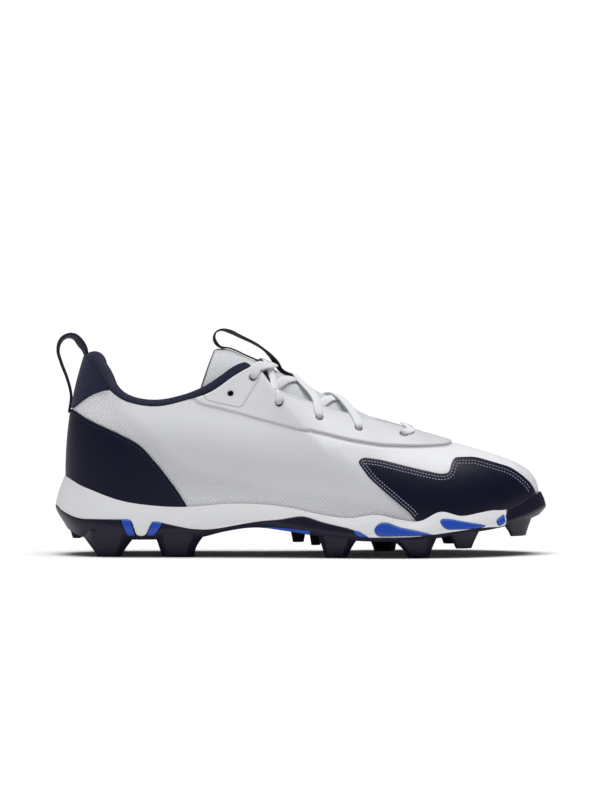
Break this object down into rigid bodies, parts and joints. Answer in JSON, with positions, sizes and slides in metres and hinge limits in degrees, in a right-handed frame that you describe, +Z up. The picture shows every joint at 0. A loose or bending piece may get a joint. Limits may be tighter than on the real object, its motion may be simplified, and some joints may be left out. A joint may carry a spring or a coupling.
{
  "type": "baseball cleat",
  "caption": "Low-cut baseball cleat for the right foot with hollow upper, padded collar, laced tongue, moulded studs and pull loops at heel and tongue",
  "frame": {"origin": "on the floor, under the middle of the shoe's box", "axes": "+X to the toe, +Y to the inner side of the right foot, +Z up"},
  "size_m": [0.3006, 0.1043, 0.1396],
  "materials": {
    "shell": "smooth and embossed white synthetic leather, satin",
    "overlay": "navy synthetic leather, satin",
    "midsole": "white moulded foam, satin",
    "outsole": "moulded navy plastic, satin",
    "insert": "moulded blue plastic, semi-gloss",
    "lining": "navy knitted textile",
    "mesh": "white knitted mesh",
    "webbing": "woven black webbing",
    "lace": "flat woven white lace"
  },
  "bodies": {
    "root": {"upper": "shell", "eyestay": "shell", "heel_counter": "overlay", "heel_tab": "overlay", "toe_overlay_outer": "overlay", "toe_overlay_inner": "overlay", "midsole": "midsole", "outsole": "outsole", "insole": "lining", "collar": "lining", "tongue": "mesh", "heel_loop": "webbing", "tongue_loop": "webbing", "lace_bar_toe": "lace", "lace_cross_toe": "lace", "lace_cross_middle": "lace", "lace_ankle": "lace", "insert_heel_rear_outer": "insert", "insert_heel_rear_inner": "insert", "insert_heel_front_outer": "insert", "insert_heel_front_inner": "insert", "insert_ball_rear_outer": "insert", "insert_ball_rear_inner": "insert", "insert_ball_leaf_outer": "insert", "insert_ball_leaf_inner": "insert", "insert_front_leaf_outer": "insert", "insert_front_leaf_inner": "insert", "insert_toe_outer": "insert", "insert_toe_inner": "insert"}
  },
  "joints": []
}
